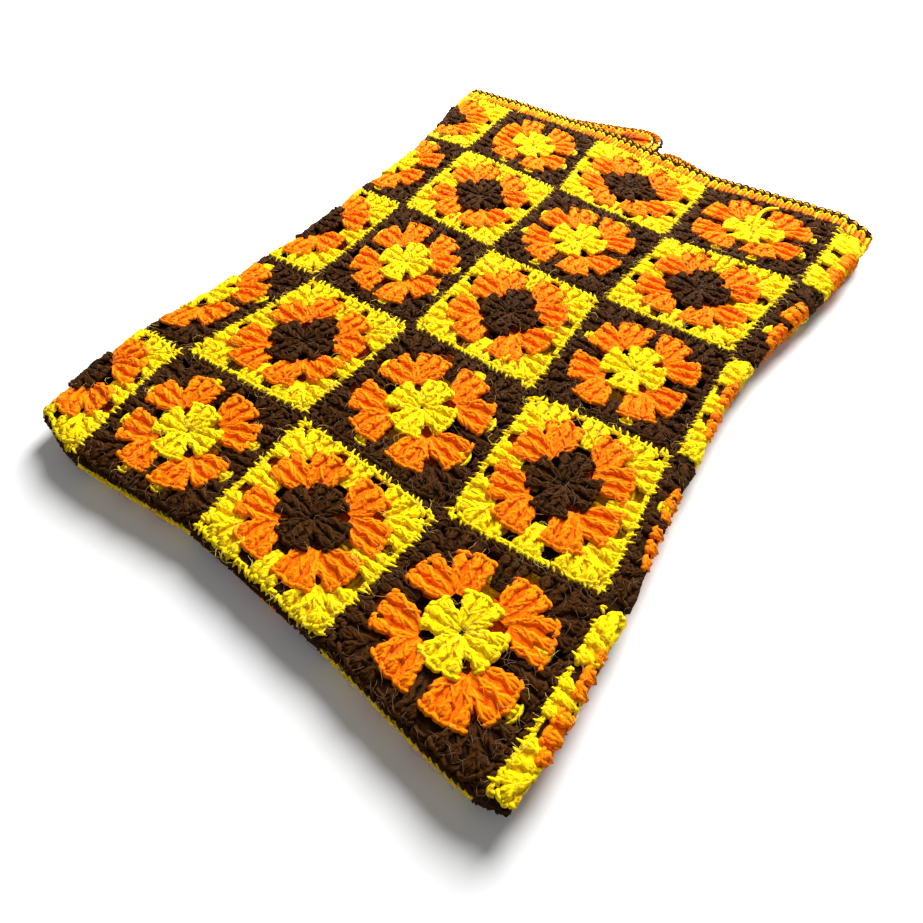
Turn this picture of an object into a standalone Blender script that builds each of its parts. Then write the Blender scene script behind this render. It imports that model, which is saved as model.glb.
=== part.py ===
"""Granny square blanket, folded: sides turned under to the middle, then folded in half at the front.

Flat cloth: U across, V along, T through the thickness, all from the middle of the cloth.
Folded cloth: X across, Y along (the front fold at -Y, the hems at +Y), Z up, resting on Z = 0.
"""
import math

import bpy
import numpy as np

# Flat cloth, metres
SQUARE = 0.100
COLUMNS = 7
ROWS = 10
BORDER_WIDTH = 0.018
BORDER_CORNER = 0.014
CLOTH = 0.0035
PIECE_GAP = 0.0003

# Folds, metres: the layers lie LAYER_GAP apart, the rims of the side folds are FOLDED_WIDTH apart
LAYER_GAP = 0.002
FOLDED_WIDTH = 0.370
SIDE_SHIFT = 0.015
FRONT_LEAD = 0.007
FRONT_RIM_Y = -0.262

# Middle of the finished outline, taken off every point so that the origin lies under it
OUTLINE_MIDDLE = (0.00148, 0.01065)

# Radii of the cloth's middle surface in the side folds, and of the front fold's tight inner face
SIDE_RADIUS = 0.5 * (CLOTH + LAYER_GAP)
INNER_RADIUS = 0.5 * LAYER_GAP
FRONT_RADIUS = INNER_RADIUS + 2.0 * SIDE_RADIUS + 0.5 * CLOTH
STACK = 2.0 * FRONT_RADIUS + CLOTH
SIDE_STRAIGHT = 0.5 * FOLDED_WIDTH - SIDE_RADIUS - 0.5 * CLOTH
SIDE_ARC = math.pi * SIDE_RADIUS
FRONT_ARC = math.pi * FRONT_RADIUS
FRONT_STRAIGHT_Y = FRONT_RIM_Y + FRONT_RADIUS + 0.5 * CLOTH

# Mesh spans
TOP_SPANS = 14
SIDE_SPANS = 5
FLAP_SPANS = 5
FRONT_SPANS = 8
LENGTH_SPANS = 14
CORNER_SPANS = 3

# How far the folded cloth strays from a true rectangle, in millimetres.
# Each row is a crosswise join; the columns are the left rim, the four joins between whole squares
# and the right rim.
STATION_X = np.array([-0.185, -0.135, -0.035, 0.065, 0.165, 0.185])
ROW_NAMES = ("front", "first", "second", "third", "fourth", "hem")
STATION_Y = FRONT_RIM_Y + SQUARE * np.arange(len(ROW_NAMES))
DRIFT_ACROSS_MM = {
    "front": (-4, 2, -3, -1, 3, 0),
    "first": (-2, -8, -5, 6, 2, -4),
    "second": (7, 8, 1, 1, -5, -11),
    "third": (8, 6, -2, -4, -7, -11),
    "fourth": (3, 1, -1, 2, 4, 7),
    "hem": (-14, -5, -10, 5, 10, 17),
}
DRIFT_ALONG_MM = {
    "front": (-4, -3, 7, 2, -9, -8),
    "first": (-10, -9, -1, -8, 2, 2),
    "second": (-4, -3, -2, -3, 5, 5),
    "third": (7, 7, 1, 1, 3, 2),
    "fourth": (8, 9, 2, -5, -1, -5),
    "hem": (-6, -3, -4, -21, -14, -28),
}

# Turned-under flaps: how far each one slews backwards and sideways for each metre in from its rim.
# side is -1 left or 1 right; half is 1 upper or -1 lower.
FLAPS = (
    {"side": -1, "half": 1, "slew_along": 0.37, "slew_across": 0.27},
    {"side": 1, "half": 1, "slew_along": 0.11, "slew_across": 0.19},
    {"side": -1, "half": -1, "slew_along": 0.05, "slew_across": -0.02},
    {"side": 1, "half": -1, "slew_along": 0.09, "slew_across": -0.02},
)
SLEW_START = 0.10
SLEW_EASE = 0.12

# Rounded front corners: how far the cloth is drawn in there, metres
CORNER_TUCKS = (
    {"x": -0.190, "y": -0.264, "radius": 0.034, "in_x": 0.008, "in_y": 0.009},
    {"x": 0.183, "y": -0.266, "radius": 0.024, "in_x": -0.006, "in_y": 0.004},
)

# Soft rises and dips of the whole stack: centre, radius in metres, share of the height
SWELLS = (
    {"x": -0.150, "y": -0.190, "radius": 0.070, "rise": 0.16},
    {"x": 0.120, "y": -0.200, "radius": 0.080, "rise": -0.06},
    {"x": -0.040, "y": -0.060, "radius": 0.090, "rise": 0.08},
    {"x": 0.110, "y": 0.010, "radius": 0.070, "rise": -0.07},
    {"x": -0.120, "y": 0.100, "radius": 0.080, "rise": 0.07},
    {"x": 0.030, "y": 0.170, "radius": 0.070, "rise": -0.06},
    {"x": 0.130, "y": 0.190, "radius": 0.060, "rise": 0.08},
)


def hermite(position, stations, values):
    """Smooth curve through the values at the stations, level past the first and the last one."""
    slopes = np.gradient(values, stations, axis=0)
    slopes[0] = 0.0
    slopes[-1] = 0.0
    inside = np.clip(position, stations[0], stations[-1])
    step = np.clip(np.searchsorted(stations, inside) - 1, 0, len(stations) - 2)
    span = stations[step + 1] - stations[step]
    f = (inside - stations[step]) / span
    rise = 3.0 * f**2 - 2.0 * f**3
    start_slope = f - 2.0 * f**2 + f**3
    end_slope = f**3 - f**2
    return (
        values[step] * (1.0 - rise)
        + values[step + 1] * rise
        + span * (slopes[step] * start_slope + slopes[step + 1] * end_slope)
    )


def drift(x, y, table_mm):
    """Drift in metres at folded points, smooth along the rows of the table and straight across them."""
    table = 0.001 * np.array([table_mm[name] for name in ROW_NAMES], dtype=float)
    by_station = [hermite(y, STATION_Y, table[:, column]) for column in range(len(STATION_X))]
    total = np.zeros_like(x)
    inside = np.clip(x, STATION_X[0], STATION_X[-1])
    for column in range(len(STATION_X)):
        hat = np.zeros(len(STATION_X))
        hat[column] = 1.0
        total += by_station[column] * np.interp(inside, STATION_X, hat)
    return total


def turn_sides_under(u, t):
    """First fold: both sides go under the middle. Gives x, and z over the top layer's middle."""
    across = u + SIDE_SHIFT
    side = np.where(across < 0.0, -1.0, 1.0)
    past = np.abs(across) - SIDE_STRAIGHT
    angle = np.clip(past / SIDE_RADIUS, 0.0, math.pi)
    under = np.maximum(past - SIDE_ARC, 0.0)
    straight = np.minimum(np.abs(across), SIDE_STRAIGHT)
    x = side * (straight + (SIDE_RADIUS + t) * np.sin(angle) - under)
    z = (SIDE_RADIUS + t) * np.cos(angle) - SIDE_RADIUS
    return x, z, side, under


def fold_in_half(v, z):
    """Second fold: the strip goes round the front. Gives y, height over the surface, and the half."""
    radius = FRONT_RADIUS + z
    past = FRONT_LEAD - v
    angle = np.clip(past / FRONT_RADIUS, 0.0, math.pi)
    back = np.maximum(-past, 0.0) + np.maximum(past - FRONT_ARC, 0.0)
    y = FRONT_STRAIGHT_Y - radius * np.sin(angle) + back
    height = 0.5 * STACK + radius * np.cos(angle)
    return y, height, np.cos(angle), back


def slew_flaps(x, y, side, under, half, back):
    """Swing the turned-under flaps: they were not laid in quite square."""
    ramp = np.clip((back - SLEW_START) / (0.5 * ROWS * SQUARE - SLEW_START), 0.0, 1.2)
    ramp = ramp * ramp * (3.0 - 2.0 * np.minimum(ramp, 1.0))
    reach = under**3 / (under**2 + SLEW_EASE**2)
    for flap in FLAPS:
        mine = ((side == flap["side"]) & (half * flap["half"] > 0.0)).astype(float)
        y = y + mine * flap["slew_along"] * ramp * reach
        x = x + mine * flap["slew_across"] * ramp * reach
    return x, y


def tuck_corners(x, y):
    """Draw the front corners in, as a soft fold does."""
    in_x = np.zeros_like(x)
    in_y = np.zeros_like(y)
    for corner in CORNER_TUCKS:
        distance = (x - corner["x"]) ** 2 + (y - corner["y"]) ** 2
        share = np.exp(-distance / corner["radius"] ** 2)
        in_x += corner["in_x"] * share
        in_y += corner["in_y"] * share
    return x + in_x, y + in_y


def swell(x, y):
    """Share by which the stack stands higher or lower than its nominal height."""
    total = np.zeros_like(x)
    for row in SWELLS:
        distance = (x - row["x"]) ** 2 + (y - row["y"]) ** 2
        total += row["rise"] * np.exp(-distance / row["radius"] ** 2)
    return total


def fold(u, v, t):
    """Folded position of points of the flat cloth, as an array of x, y, z rows."""
    u, v, t = np.broadcast_arrays(*(np.asarray(value, dtype=float) for value in (u, v, t)))
    x, z, side, under = turn_sides_under(u, t)
    y, height, half, back = fold_in_half(v, z)
    height = height * (1.0 + swell(x, y))
    stray_x = drift(x, y, DRIFT_ACROSS_MM)
    stray_y = drift(x, y, DRIFT_ALONG_MM)
    x, y = slew_flaps(x, y, side, under, half, back)
    x, y = tuck_corners(x + stray_x, y + stray_y)
    x = x - OUTLINE_MIDDLE[0]
    y = y - OUTLINE_MIDDLE[1]
    return np.stack([x, y, height], axis=-1)


def runs(*pieces):
    """One rising list of stations from (start, end, spans) runs that follow each other."""
    stations = [np.linspace(start, end, spans + 1)[:-1] for start, end, spans in pieces]
    return np.concatenate(stations + [[pieces[-1][1]]])


def stations_across():
    """Stations over the width of the joined squares, close together in the side folds."""
    left = -0.5 * COLUMNS * SQUARE
    right = 0.5 * COLUMNS * SQUARE
    bend = SIDE_STRAIGHT
    turned = SIDE_STRAIGHT + SIDE_ARC
    return runs(
        (left, -turned - SIDE_SHIFT, FLAP_SPANS),
        (-turned - SIDE_SHIFT, -bend - SIDE_SHIFT, SIDE_SPANS),
        (-bend - SIDE_SHIFT, bend - SIDE_SHIFT, TOP_SPANS),
        (bend - SIDE_SHIFT, turned - SIDE_SHIFT, SIDE_SPANS),
        (turned - SIDE_SHIFT, right, FLAP_SPANS),
    )


def stations_along():
    """Stations over the length of the joined squares, close together in the front fold."""
    end = 0.5 * ROWS * SQUARE
    return runs(
        (-end, FRONT_LEAD - FRONT_ARC, LENGTH_SPANS),
        (FRONT_LEAD - FRONT_ARC, FRONT_LEAD, FRONT_SPANS),
        (FRONT_LEAD, end, LENGTH_SPANS),
    )


def edge_loop(count_u, count_v):
    """Row-major indices around the rim of a grid, anticlockwise seen from +T."""
    bottom = [i for i in range(count_u)]
    right = [j * count_u + count_u - 1 for j in range(1, count_v)]
    top = [(count_v - 1) * count_u + i for i in range(count_u - 2, -1, -1)]
    left = [j * count_u for j in range(count_v - 2, 0, -1)]
    return bottom + right + top + left


def squares_mesh():
    """The joined squares: an upper and a lower face of the cloth, closed around the edge."""
    across = stations_across()
    along = stations_along()
    u, v = np.meshgrid(across, along)
    count_u = len(across)
    count_v = len(along)
    total = count_u * count_v
    upper = fold(u.ravel(), v.ravel(), 0.5 * CLOTH)
    lower = fold(u.ravel(), v.ravel(), -0.5 * CLOTH)
    faces = []
    for j in range(count_v - 1):
        for i in range(count_u - 1):
            a = j * count_u + i
            quad = (a, a + 1, a + 1 + count_u, a + count_u)
            faces.append(quad)
            faces.append(tuple(total + index for index in reversed(quad)))
    rim = edge_loop(count_u, count_v)
    for a, b in zip(rim, rim[1:] + rim[:1]):
        faces.append((b, a, total + a, total + b))
    return np.concatenate([upper, lower]), faces


def border_path():
    """Inner and outer points (u, v) around the border, anticlockwise, its outer corners rounded."""
    across = stations_across()
    along = stations_along()
    width = BORDER_WIDTH
    half_u = 0.5 * COLUMNS * SQUARE
    half_v = 0.5 * ROWS * SQUARE
    inner = []
    outer = []

    def corner(u, v, start_degrees):
        centre_u = u + math.copysign(width - BORDER_CORNER, u)
        centre_v = v + math.copysign(width - BORDER_CORNER, v)
        for step in range(CORNER_SPANS + 1):
            angle = math.radians(start_degrees + 90.0 * step / CORNER_SPANS)
            inner.append((u + math.copysign(PIECE_GAP, u), v + math.copysign(PIECE_GAP, v)))
            outer.append((centre_u + BORDER_CORNER * math.cos(angle),
                          centre_v + BORDER_CORNER * math.sin(angle)))

    for u in across[1:-1]:
        inner.append((u, -half_v - PIECE_GAP))
        outer.append((u, -half_v - width))
    corner(half_u, -half_v, 270.0)
    for v in along[1:-1]:
        inner.append((half_u + PIECE_GAP, v))
        outer.append((half_u + width, v))
    corner(half_u, half_v, 0.0)
    for u in across[-2:0:-1]:
        inner.append((u, half_v + PIECE_GAP))
        outer.append((u, half_v + width))
    corner(-half_u, half_v, 90.0)
    for v in along[-2:0:-1]:
        inner.append((-half_u - PIECE_GAP, v))
        outer.append((-half_u - width, v))
    corner(-half_u, -half_v, 180.0)
    return np.array(inner), np.array(outer)


def border_mesh():
    """The crocheted border: one closed band around the joined squares, folded with them."""
    inner, outer = border_path()
    count = len(inner)
    points = []
    index = {}
    rings = []
    for uv, t in ((inner, 0.5), (outer, 0.5), (outer, -0.5), (inner, -0.5)):
        ring = []
        for u, v in uv:
            key = (round(u, 7), round(v, 7), t)
            if key not in index:
                index[key] = len(points)
                points.append((u, v, t * CLOTH))
            ring.append(index[key])
        rings.append(ring)
    faces = []
    for step in range(count):
        after = (step + 1) % count
        for near, far in zip(rings, rings[1:] + rings[:1]):
            corners = (near[step], far[step], far[after], near[after])
            face = tuple(dict.fromkeys(corners))
            if len(face) > 2:
                faces.append(face)
    flat = np.array(points)
    return fold(flat[:, 0], flat[:, 1], flat[:, 2]), faces


def yarn_material(name, colour):
    """Matt wool-like yarn of one colour."""
    material = bpy.data.materials.new(name)
    material.use_nodes = True
    shader = material.node_tree.nodes["Principled BSDF"]
    shader.inputs["Base Color"].default_value = (*colour, 1.0)
    shader.inputs["Roughness"].default_value = 0.9
    shader.inputs["Metallic"].default_value = 0.0
    return material


def add_node(name, shape, material):
    """Put one closed solid in the scene under its node's name."""
    points, faces = shape
    mesh = bpy.data.meshes.new(name)
    mesh.from_pydata(points.tolist(), [], faces)
    mesh.validate()
    mesh.shade_smooth()
    mesh.set_sharp_from_angle(angle=math.radians(40.0))
    mesh.materials.append(material)
    piece = bpy.data.objects.new(name, mesh)
    bpy.context.scene.collection.objects.link(piece)
    return piece


def main():
    for leftover in list(bpy.data.objects):
        bpy.data.objects.remove(leftover, do_unlink=True)
    add_node("joined_squares", squares_mesh(), yarn_material("squares_yarn", (0.80, 0.38, 0.03)))
    add_node("crochet_border", border_mesh(), yarn_material("border_yarn", (0.70, 0.33, 0.04)))


main()
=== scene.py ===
"""Granny square blanket, folded: every visible stitch as yarn on the folded cloth.

Flat cloth: U across, V along, T through the thickness, all from the middle of the cloth, in metres.
Stitches are laid out in millimetres on one side of a square (X outward from the square's middle,
Y along that side), turned on to its four sides, and carried through the folds by fold().
"""
import math

import bpy
import numpy as np
from mathutils import Matrix, Vector


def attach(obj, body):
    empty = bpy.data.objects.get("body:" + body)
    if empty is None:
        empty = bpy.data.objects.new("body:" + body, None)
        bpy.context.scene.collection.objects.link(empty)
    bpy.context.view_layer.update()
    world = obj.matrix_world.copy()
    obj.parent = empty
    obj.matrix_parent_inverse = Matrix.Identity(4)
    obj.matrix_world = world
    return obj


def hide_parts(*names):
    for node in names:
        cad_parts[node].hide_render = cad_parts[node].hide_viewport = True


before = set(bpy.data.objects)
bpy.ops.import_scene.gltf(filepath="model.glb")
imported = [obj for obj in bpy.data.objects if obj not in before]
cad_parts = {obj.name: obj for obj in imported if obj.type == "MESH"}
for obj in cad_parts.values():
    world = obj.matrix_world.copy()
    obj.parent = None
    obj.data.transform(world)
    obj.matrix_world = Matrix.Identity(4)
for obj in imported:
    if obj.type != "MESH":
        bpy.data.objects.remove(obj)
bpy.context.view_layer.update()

MM = 0.001
SEED = 20

# ---------------- flat cloth and its folds, metres
SQUARE = 0.100
COLUMNS = 7
ROWS = 10
CLOTH = 0.0035
LAYER_GAP = 0.002
FOLDED_WIDTH = 0.370
SIDE_SHIFT = 0.015
FRONT_LEAD = 0.007
FRONT_RIM_Y = -0.262
OUTLINE_MIDDLE = (0.00148, 0.01065)

SIDE_RADIUS = 0.5 * (CLOTH + LAYER_GAP)
INNER_RADIUS = 0.5 * LAYER_GAP
FRONT_RADIUS = INNER_RADIUS + 2.0 * SIDE_RADIUS + 0.5 * CLOTH
STACK = 2.0 * FRONT_RADIUS + CLOTH
SIDE_STRAIGHT = 0.5 * FOLDED_WIDTH - SIDE_RADIUS - 0.5 * CLOTH
SIDE_ARC = math.pi * SIDE_RADIUS
FRONT_ARC = math.pi * FRONT_RADIUS
FRONT_STRAIGHT_Y = FRONT_RIM_Y + FRONT_RADIUS + 0.5 * CLOTH

# How far the folded cloth strays from a true rectangle, in millimetres. Each row is a crosswise
# join; the columns are the left rim, the four joins between whole squares and the right rim.
STATION_X = np.array([-0.185, -0.135, -0.035, 0.065, 0.165, 0.185])
ROW_NAMES = ("front", "first", "second", "third", "fourth", "hem")
STATION_Y = FRONT_RIM_Y + SQUARE * np.arange(len(ROW_NAMES))
DRIFT_ACROSS_MM = {
    "front": (-4, 2, -3, -1, 3, 0),
    "first": (-2, -8, -5, 6, 2, -4),
    "second": (7, 8, 1, 1, -5, -11),
    "third": (8, 6, -2, -4, -7, -11),
    "fourth": (3, 1, -1, 2, 4, 7),
    "hem": (-14, -5, -10, 5, 10, 17),
}
DRIFT_ALONG_MM = {
    "front": (-4, -3, 7, 2, -9, -8),
    "first": (-10, -9, -1, -8, 2, 2),
    "second": (-4, -3, -2, -3, 5, 5),
    "third": (7, 7, 1, 1, 3, 2),
    "fourth": (8, 9, 2, -5, -1, -5),
    "hem": (-6, -3, -4, -21, -14, -28),
}

# Turned-under flaps: how far each one slews backwards and sideways for each metre in from its rim.
# side is -1 left or 1 right; half is 1 upper or -1 lower.
FLAPS = (
    {"side": -1, "half": 1, "slew_along": 0.37, "slew_across": 0.27},
    {"side": 1, "half": 1, "slew_along": 0.11, "slew_across": 0.19},
    {"side": -1, "half": -1, "slew_along": 0.05, "slew_across": -0.02},
    {"side": 1, "half": -1, "slew_along": 0.09, "slew_across": -0.02},
)
SLEW_START = 0.10
SLEW_EASE = 0.12
FLAP_SHOWS_FROM = 0.40
RIM_SHOWS = 0.020
RIM_PRESS = 0.015

CORNER_TUCKS = (
    {"x": -0.190, "y": -0.264, "radius": 0.034, "in_x": 0.008, "in_y": 0.009},
    {"x": 0.183, "y": -0.266, "radius": 0.024, "in_x": -0.006, "in_y": 0.004},
)

# Soft rises and dips of the whole stack: centre, radius in metres, share of the height
SWELLS = (
    {"x": -0.150, "y": -0.190, "radius": 0.070, "rise": 0.16},
    {"x": 0.120, "y": -0.200, "radius": 0.080, "rise": -0.06},
    {"x": -0.040, "y": -0.060, "radius": 0.090, "rise": 0.08},
    {"x": 0.110, "y": 0.010, "radius": 0.070, "rise": -0.07},
    {"x": -0.120, "y": 0.100, "radius": 0.080, "rise": 0.07},
    {"x": 0.030, "y": 0.170, "radius": 0.070, "rise": -0.06},
    {"x": 0.130, "y": 0.190, "radius": 0.060, "rise": 0.08},
)

# ---------------- stitches of one side of a square, mm
# A fan of double crochets: where it starts, and the ends of the edge that its heads make.
# bow is how far the middle of that edge bulges outward; round counts from the middle.
FANS = (
    # the petal of the middle
    {"round": 1, "base": (1.5, 0.0), "from": (17.6, -11.6), "to": (17.6, 11.6), "bow": 3.0},
    # the two fans of the second round, which meet their neighbours at the corners
    {"round": 2, "base": (15.2, -13.0), "from": (34.2, -27.6), "to": (38.2, -3.4), "bow": 2.4},
    {"round": 2, "base": (15.2, 13.0), "from": (38.2, 3.4), "to": (34.2, 27.6), "bow": 2.4},
    # the corner, middle and corner fans of the outer round
    {"round": 3, "base": (29.0, -27.5), "from": (45.0, -43.0), "to": (46.6, -16.5), "bow": 1.4},
    {"round": 3, "base": (28.0, 0.0), "from": (46.8, -9.0), "to": (46.8, 9.0), "bow": 0.6},
    {"round": 3, "base": (29.0, 27.5), "from": (46.6, 16.5), "to": (45.0, 43.0), "bow": 1.4},
)
STITCHES_PER_FAN = 3

# Along a stitch: its foot, lower leg, upper leg and head. Heights over the cloth's middle surface, mm
ROUND_HEIGHTS = {
    1: (0.3, 1.0, 1.5, 1.2),
    2: (-0.6, 0.7, 1.5, 1.3),
    3: (-1.0, 0.1, 0.9, 0.6),
}
# How far the feet of a fan's stitches lie apart, and how far its outer legs bulge, mm
FOOT_SPACING = {1: 1.6, 2: 2.4, 3: 2.2}
FAN_BULGE = {1: 1.4, 2: 2.6, 3: 1.6}
# How far a fan strays from its place, mm, and how far it leans, mm sideways for each mm outward
FAN_STRAY = {1: 0.35, 2: 0.8, 3: 0.7}
FAN_LEAN = {1: 0.02, 2: 0.05, 3: 0.03}

# The place that a fan leans about, outward from the middle of the square
LEAN_FROM = 20.0
# How far each stitch's head and height stray, mm
HEAD_STRAY = 0.55
STITCH_PUFF = (-0.3, 0.4)

YARN_RADIUS = 1.22
LEG_POINTS = 7
LEG_TURNS = 2.3
LEG_TWIST_STRAY = 0.35
# Share of a stitch's width that each leg keeps from its middle, and the length of its corner, mm
LEG_SPREAD = 0.30
CORNER_POINT = 0.8

# Pressed yarn: the share of its height that the underside keeps and the most that stays, mm, and
# the share that the rims lose
BOTTOM_SQUASH = 0.4
BOTTOM_LIMIT = 0.5
RIM_SQUASH = 0.5
# No yarn lies lower than this over the surface, metres
LOWEST = 0.00005

# The outer edge of a square and its joins, mm
EDGE = 46.6
EDGE_GAPS = ((-15.0, -8.5), (8.5, 15.0))
CORNER_CHAIN_START = 42.0
TICK_RANGE = 46.5
TICK_SPACING = {"fine": 3.9, "medium": 5.8}
TICK_STRAY = (0.65, 1.4)
SEAM_RANGE = 50.0
SEAM_SPACING = {"fine": 4.2, "medium": 5.5}

# Yellow loops that stand for the layer below in the holes of a brown outer round: mm from the
# square's middle, and the share of the holes that has one
SHOWN_LOOPS = (
    {"foot": 32.0, "head": 41.5, "over": -14.0, "width": 10.0, "share": 0.5},
    {"foot": 32.0, "head": 41.5, "over": 14.0, "width": 10.0, "share": 0.3},
)
SHOWN_HEIGHTS = (-0.8, 0.1, 0.5, 0.2)
SHOWN_STRAY = 0.8

# The cloth's own thin surface under the yarn, mm over the cloth's middle surface
PLATE_COLOURS = ("yellow", "orange", "brown", "gold")
PLATE_HEIGHT = {1: 0.6, 2: 0.5, 3: 0.0}
PLATE_PUFF = {1: 1.0, 2: 1.0, 3: 0.4}
PLATE_RISE = 0.7
PLATE_FOOT = 7.0
PLATE_STEPS = 4
PLATE_TWIST = 90.0
# Share of painted shade on the plates, darker in the gaps between the strands
PLATE_PAINTED_SHADE = 0.45
PLATE_TINT = 0.4
SEAM_PLATE = {"from": 46.0, "to": 50.2, "height": -0.6, "steps": 9}

# Dark backing where the holes would show the light: metres from a rim, and its depth in mm
RIM_BACKING = 0.020
BACKING_DEPTH = 0.8
BACKING_REACH = (0.5, 49.5)
BACKING_STEPS = {"near": (16, 7), "far": (4, 3)}

# Border, mm, and its sides: the corner each starts at, in half cloths, and the way it runs
BORDER_PITCH = 5.9
BORDER_STRAY = 0.25
BORDER_SIDES = (
    {"from": (-1, -1), "along": (1, 0), "fine": True},
    {"from": (1, -1), "along": (0, 1), "fine": False},
    {"from": (1, 1), "along": (-1, 0), "fine": True},
    {"from": (-1, 1), "along": (0, -1), "fine": False},
)
BORDER_GOLD_SHARE = 0.3
BORDER_PLATE_OUT = (0.0, 9.0, 16.6)
BORDER_PLATE_SPACING = 12.5
CORNER_STITCHES = 5
CORNER_REACH = 16.8
CORNER_NARROW = {"least": 0.35, "over": 17.0}

# Loose fibres: how many of each colour, and their length and radius in mm
FIBRES = {"brown": 2000, "yellow": 1300, "orange": 700}
FIBRE_LENGTH = (4.0, 11.0)
FIBRE_RADIUS = 0.075
FIBRE_CURL = 0.8
FIBRE_ROOT = 0.6
FIBRE_RISE = {"start": 0.7, "arch": 1.8, "skew": 0.7}

# A yarn end that was never woven in: folded place in metres, height over the cloth in mm
LOOSE_END = (
    {"x": 0.1230, "y": 0.1790, "height": 1.0},
    {"x": 0.1200, "y": 0.1900, "height": 4.5},
    {"x": 0.1195, "y": 0.2010, "height": 5.5},
    {"x": 0.1225, "y": 0.2110, "height": 4.5},
    {"x": 0.1285, "y": 0.2200, "height": 1.8},
)
LOOSE_END_POINTS = 13

# Creases of the top layer in metres: soft troughs and ridges, from one place to another
CREASES = (
    # where the two flaps meet underneath
    {"from": (-0.022, -0.200), "to": (0.004, 0.230), "width": 0.013, "rise_mm": -1.1},
    # the rolls of the left flap and of the right rim
    {"from": (-0.160, -0.150), "to": (-0.150, 0.180), "width": 0.012, "rise_mm": 0.6},
    {"from": (0.152, -0.200), "to": (0.150, 0.120), "width": 0.010, "rise_mm": -0.8},
    # pulls at the front and at the back
    {"from": (-0.120, -0.215), "to": (-0.060, -0.120), "width": 0.012, "rise_mm": 0.7},
    {"from": (0.020, 0.120), "to": (0.130, 0.215), "width": 0.014, "rise_mm": -0.7},
)

# Colours of the three rounds of the two kinds of square, from the middle outward
SQUARE_COLOURS = {
    "sunny": ("brown", "orange", "yellow"),
    "dark": ("yellow", "orange", "brown"),
}

# Yarn: body is the colour in the light, then a darker, warmer painted shade for between the strands and
# their undersides, and loose fibres, as linear colours
YARN_COLOURS = {
    "yellow": {
        "body": (1.00, 0.75, 0.003), "painted_shade": (0.72, 0.38, 0.001),
        "fibre": (1.0, 0.85, 0.15), "sheen": 0.04,
    },
    "orange": {
        "body": (1.00, 0.250, 0.0), "painted_shade": (0.78, 0.08, 0.0),
        "fibre": (1.0, 0.42, 0.08), "sheen": 0.04,
    },
    "brown": {
        "body": (0.056, 0.0180, 0.0015), "painted_shade": (0.004, 0.0018, 0.0013),
        "fibre": (0.24, 0.14, 0.07), "sheen": 0.03,
    },
    "gold": {
        "body": (1.00, 0.50, 0.008), "painted_shade": (0.75, 0.18, 0.001),
        "fibre": (1.0, 0.70, 0.20), "sheen": 0.04,
    },
}
YARN_ROUGHNESS = 0.92
YARN_SPECULAR = 0.08
SHEEN_ROUGHNESS = 0.5
FIBRE_ROUGHNESS = 0.7
FIBRE_SPECULAR = 0.3

# Surface of the yarn: its ply turns once every PLY_LENGTH metres; the noises' scales are for each
# metre, or for each metre along and each turn around for the fibres that are drawn out along it
PLY_LENGTH = 0.007
FIBRES_ALONG = 260.0
FIBRES_AROUND = 9.0
FUZZ_SCALE = 900.0
LUMP_SCALE = 420.0
PLY_RELIEF = 0.25
FUZZ_RELIEF = 0.6
LUMP_RELIEF = 1.6
BUMP_STRENGTH = 0.6
BUMP_DISTANCE = 0.0008
# Painted shade in pits and grooves: the noise values at which it starts and is deepest, and how dark it gets
PITS = {"from": 0.44, "deepest": 0.30, "dark": 0.9}
GROOVES = {"from": 0.75, "deepest": 0.25, "dark": 0.2}
# How strongly depth darkens the yarn towards its painted shade colour
DEPTH_PAINTED_SHADE = 0.85
STRAND_BRIGHTNESS = (0.86, 1.12)

random = np.random.default_rng(SEED)


# ---------------- folding
def hermite(position, stations, values):
    """Smooth curve through the values at the stations, level past the first and the last one."""
    slopes = np.gradient(values, stations, axis=0)
    slopes[0] = 0.0
    slopes[-1] = 0.0
    inside = np.clip(position, stations[0], stations[-1])
    step = np.clip(np.searchsorted(stations, inside) - 1, 0, len(stations) - 2)
    span = stations[step + 1] - stations[step]
    f = (inside - stations[step]) / span
    rise = 3.0 * f**2 - 2.0 * f**3
    start_slope = f - 2.0 * f**2 + f**3
    end_slope = f**3 - f**2
    return (
        values[step] * (1.0 - rise)
        + values[step + 1] * rise
        + span * (slopes[step] * start_slope + slopes[step + 1] * end_slope)
    )


def drift(x, y, table_mm):
    """Drift in metres at folded points, smooth along the rows of the table and straight across them."""
    table = MM * np.array([table_mm[name] for name in ROW_NAMES], dtype=float)
    by_station = [hermite(y, STATION_Y, table[:, column]) for column in range(len(STATION_X))]
    total = np.zeros_like(x)
    inside = np.clip(x, STATION_X[0], STATION_X[-1])
    for column in range(len(STATION_X)):
        hat = np.zeros(len(STATION_X))
        hat[column] = 1.0
        total += by_station[column] * np.interp(inside, STATION_X, hat)
    return total


def turn_sides_under(u, t):
    """First fold: both sides go under. Gives x, z over the top layer's middle, side and reach under."""
    across = u + SIDE_SHIFT
    side = np.where(across < 0.0, -1.0, 1.0)
    past = np.abs(across) - SIDE_STRAIGHT
    angle = np.clip(past / SIDE_RADIUS, 0.0, math.pi)
    under = np.maximum(past - SIDE_ARC, 0.0)
    straight = np.minimum(np.abs(across), SIDE_STRAIGHT)
    x = side * (straight + (SIDE_RADIUS + t) * np.sin(angle) - under)
    z = (SIDE_RADIUS + t) * np.cos(angle) - SIDE_RADIUS
    return x, z, side, under


def fold_in_half(v, z):
    """Second fold: the strip goes round the front. Gives y and height, 1 to -1 from the upper half to
    the lower, and the distance behind the fold."""
    radius = FRONT_RADIUS + z
    past = FRONT_LEAD - v
    angle = np.clip(past / FRONT_RADIUS, 0.0, math.pi)
    back = np.maximum(-past, 0.0) + np.maximum(past - FRONT_ARC, 0.0)
    y = FRONT_STRAIGHT_Y - radius * np.sin(angle) + back
    height = 0.5 * STACK + radius * np.cos(angle)
    return y, height, np.cos(angle), back


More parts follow.
